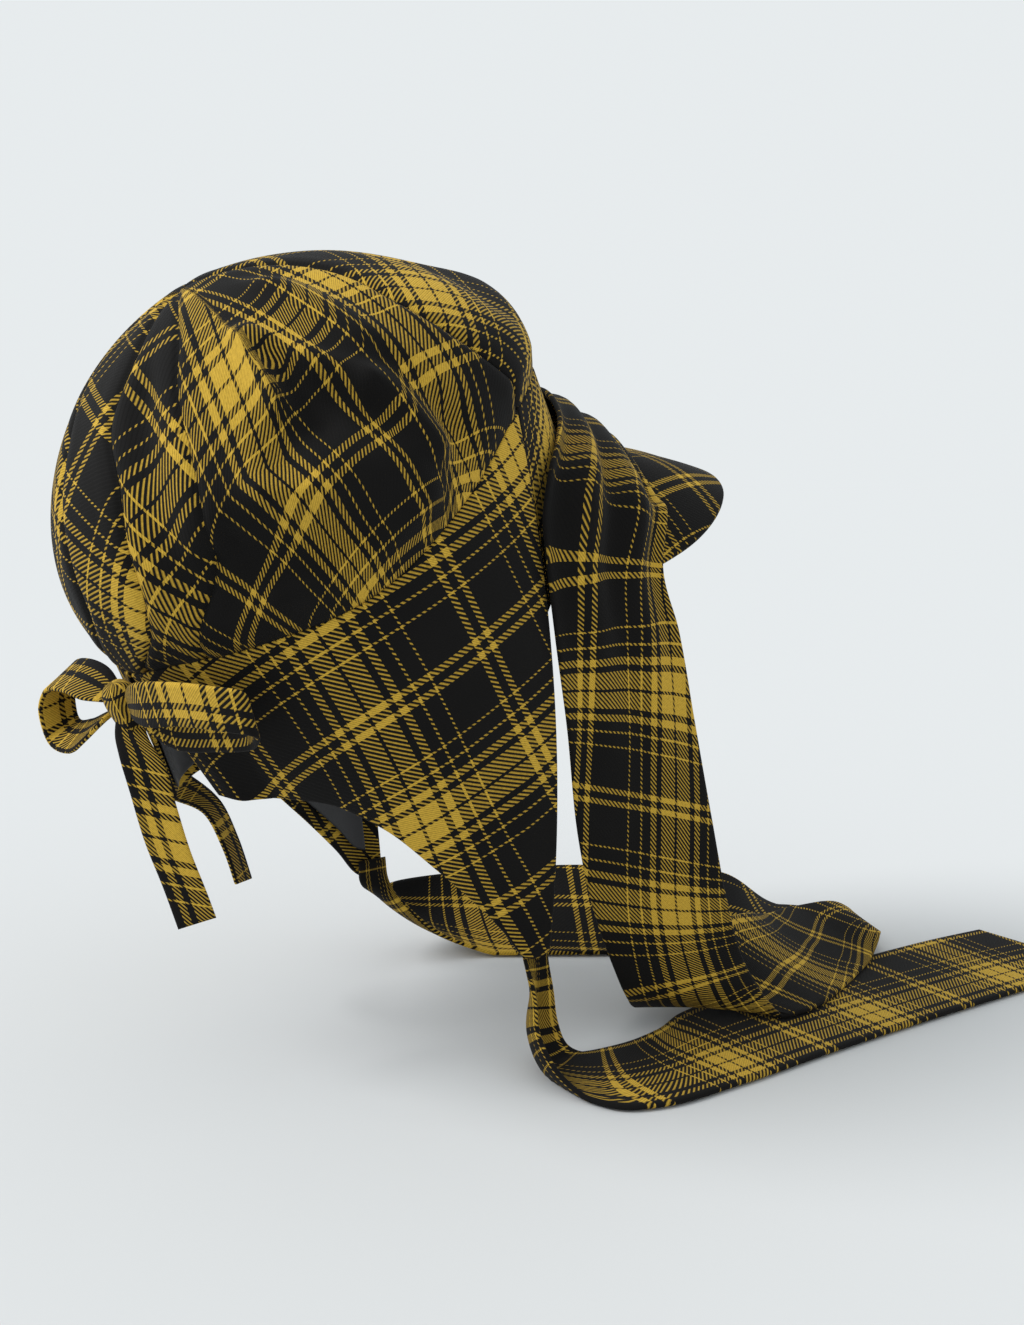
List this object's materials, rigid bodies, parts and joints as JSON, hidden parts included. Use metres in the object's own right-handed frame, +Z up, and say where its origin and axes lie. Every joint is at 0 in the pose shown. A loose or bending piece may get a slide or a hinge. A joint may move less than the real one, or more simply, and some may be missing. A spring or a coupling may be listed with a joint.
{
  "type": "deerstalker hat",
  "caption": "Deerstalker hat in tartan cloth with long pointed ear flaps, a stiff front peak, a wide tie gathered over it and a small bow at the nape.",
  "frame": {"origin": "centre of the crown's base, where the crown is sewn to the band and the ear flaps", "axes": "+Z up with the hat as it is worn, the peak points to -Y, the wearer's right is -X, and the crown's base leans back by 37 degrees"},
  "size_m": [0.235, 0.447, 0.3243],
  "materials": {
    "tartan_cloth": "black twill tartan with mustard-yellow checks, matt",
    "black_satin": "black satin lining, soft sheen"
  },
  "bodies": {
    "root": {"crown_front": "tartan_cloth", "crown_side_right": "tartan_cloth", "crown_back_right": "tartan_cloth", "crown_back_left": "tartan_cloth", "crown_side_left": "tartan_cloth", "front_band": "tartan_cloth", "peak": "tartan_cloth", "ear_flap_right": "tartan_cloth", "ear_flap_left": "tartan_cloth", "flap_lining_right": "black_satin", "flap_lining_left": "black_satin", "tie_right": "tartan_cloth", "tie_left": "tartan_cloth", "bow_knot": "tartan_cloth", "bow_loop_right": "tartan_cloth", "bow_loop_left": "tartan_cloth", "bow_tail_right": "tartan_cloth", "bow_tail_left": "tartan_cloth"}
  },
  "joints": []
}
